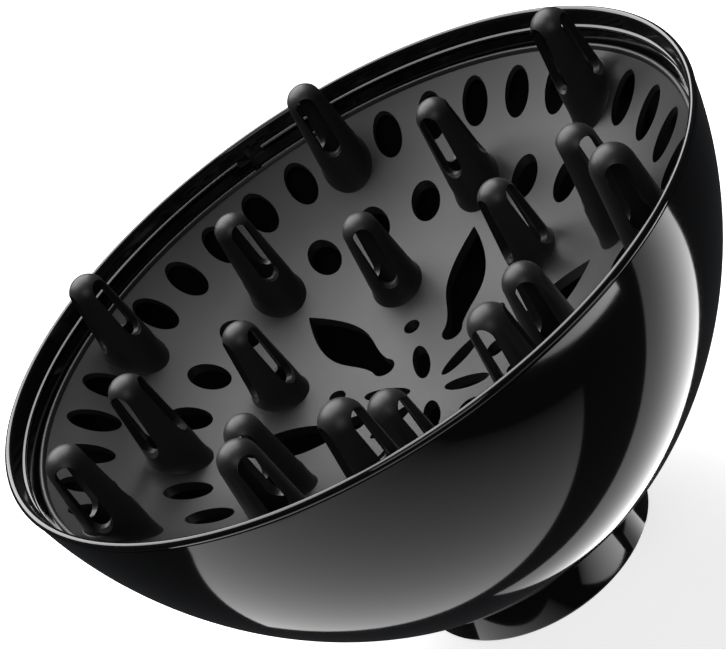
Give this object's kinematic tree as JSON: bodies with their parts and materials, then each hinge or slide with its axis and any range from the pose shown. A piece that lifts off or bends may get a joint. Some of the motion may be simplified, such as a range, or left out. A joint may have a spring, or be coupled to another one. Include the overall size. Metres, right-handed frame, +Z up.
{
  "type": "hair dryer diffuser",
  "caption": "Deep round bowl on a short neck, holding a perforated dish of hollow upright fingers that spread a dryer's air.",
  "frame": {"origin": "middle of the neck's open end, on the surface that the object stands on", "axes": "+Z up the bowl's axis to its mouth, +X through one of the six outer fingers"},
  "size_m": [0.14, 0.14, 0.0846],
  "materials": {
    "gloss_black": "polished moulded plastic",
    "satin_black": "fine satin moulded plastic",
    "gloss_black_collar": "polished moulded plastic",
    "nylon_black": "plain moulded plastic",
    "rubber_black": "matte"
  },
  "bodies": {
    "collar": {"neck_collar": "gloss_black_collar", "retaining_clip": "nylon_black", "grip_sleeve": "rubber_black"},
    "bowl": {"bowl_shell": "gloss_black"},
    "plate": {"finger_plate": "satin_black"}
  },
  "joints": [
    {"name": "bowl_turn", "type": "hinge", "parent": "collar", "child": "bowl", "pos_m": [0, 0, 0.0102], "axis": [0, 0, 1], "continuous": true},
    {"name": "plate_lift", "type": "slide", "parent": "bowl", "child": "plate", "axis": [0, 0, 1], "range_m": [0, 0.06]}
  ]
}
